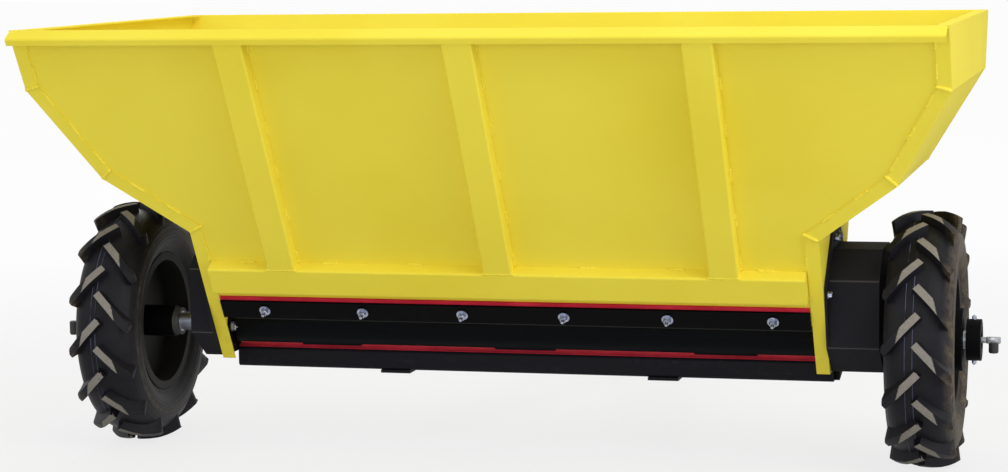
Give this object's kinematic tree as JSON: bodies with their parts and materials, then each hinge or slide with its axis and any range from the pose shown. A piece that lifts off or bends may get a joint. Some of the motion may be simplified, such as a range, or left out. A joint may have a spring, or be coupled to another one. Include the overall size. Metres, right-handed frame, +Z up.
{
  "type": "sand spreader",
  "caption": "Towed sand spreader with a folded V-shaped hopper over a wheel-driven feed roller, lug tyres, A-frame drawbar, ball coupling and prop stand.",
  "frame": {"origin": "on the ground under the middle of the whole machine, drawbar included", "axes": "+Y forward along the towing direction, +X to the right as seen from behind, +Z up"},
  "size_m": [1.876, 1.7846, 0.8401],
  "materials": {
    "yellow_paint": "zinc yellow gloss paint",
    "black_paint": "satin black paint",
    "red_sheet": "dark red soft sheet",
    "bare_steel": "bright turned steel",
    "zinc": "zinc plated",
    "tyre": "black rubber"
  },
  "bodies": {
    "frame": {"ball_coupling": "zinc", "clamp_screw": "zinc", "coupling_lever": "zinc", "cross_bar_front": "yellow_paint", "cross_bar_rear": "yellow_paint", "drawbar_arm_left": "black_paint", "drawbar_arm_right": "black_paint", "drawbar_head": "black_paint", "foot_plate_left": "black_paint", "foot_plate_right": "black_paint", "frame_beam": "black_paint", "gate_plate_front": "black_paint", "gate_plate_rear": "black_paint", "hopper_end_left": "yellow_paint", "hopper_end_right": "yellow_paint", "hopper_wall_front": "yellow_paint", "hopper_wall_rear": "yellow_paint", "rib_left_front": "yellow_paint", "rib_left_rear": "yellow_paint", "rib_mid_front": "yellow_paint", "rib_mid_rear": "yellow_paint", "rib_right_front": "yellow_paint", "rib_right_rear": "yellow_paint", "seal_front": "red_sheet", "seal_rear": "red_sheet", "shaft_bearings": "black_paint", "side_box_left": "black_paint", "side_box_right": "black_paint", "stand_clamp": "zinc"},
    "rotor": {"feed_roller": "black_paint", "axle_shaft": "bare_steel", "lock_collars": "black_paint", "lock_pins": "zinc"},
    "wheel_right": {"tyre_right": "tyre", "wheel_rim_right": "black_paint", "hub_right": "black_paint", "hub_bearing_right": "bare_steel"},
    "wheel_left": {"tyre_left": "tyre", "wheel_rim_left": "black_paint", "hub_left": "black_paint", "hub_bearing_left": "bare_steel"},
    "stand": {"stand_leg": "zinc"}
  },
  "joints": [
    {"name": "rotor_spin", "type": "hinge", "parent": "frame", "child": "rotor", "pos_m": [0.028, -0.4037, 0.24], "axis": [1, 0, 0], "continuous": true},
    {"name": "wheel_right_spin", "type": "hinge", "parent": "rotor", "child": "wheel_right", "pos_m": [0.803, -0.4037, 0.24], "axis": [1, 0, 0], "continuous": true},
    {"name": "wheel_left_spin", "type": "hinge", "parent": "rotor", "child": "wheel_left", "pos_m": [-0.768, -0.4037, 0.24], "axis": [1, 0, 0], "continuous": true},
    {"name": "stand_slide", "type": "slide", "parent": "frame", "child": "stand", "axis": [0, 0, 1], "range_m": [0, 0.26]}
  ]
}
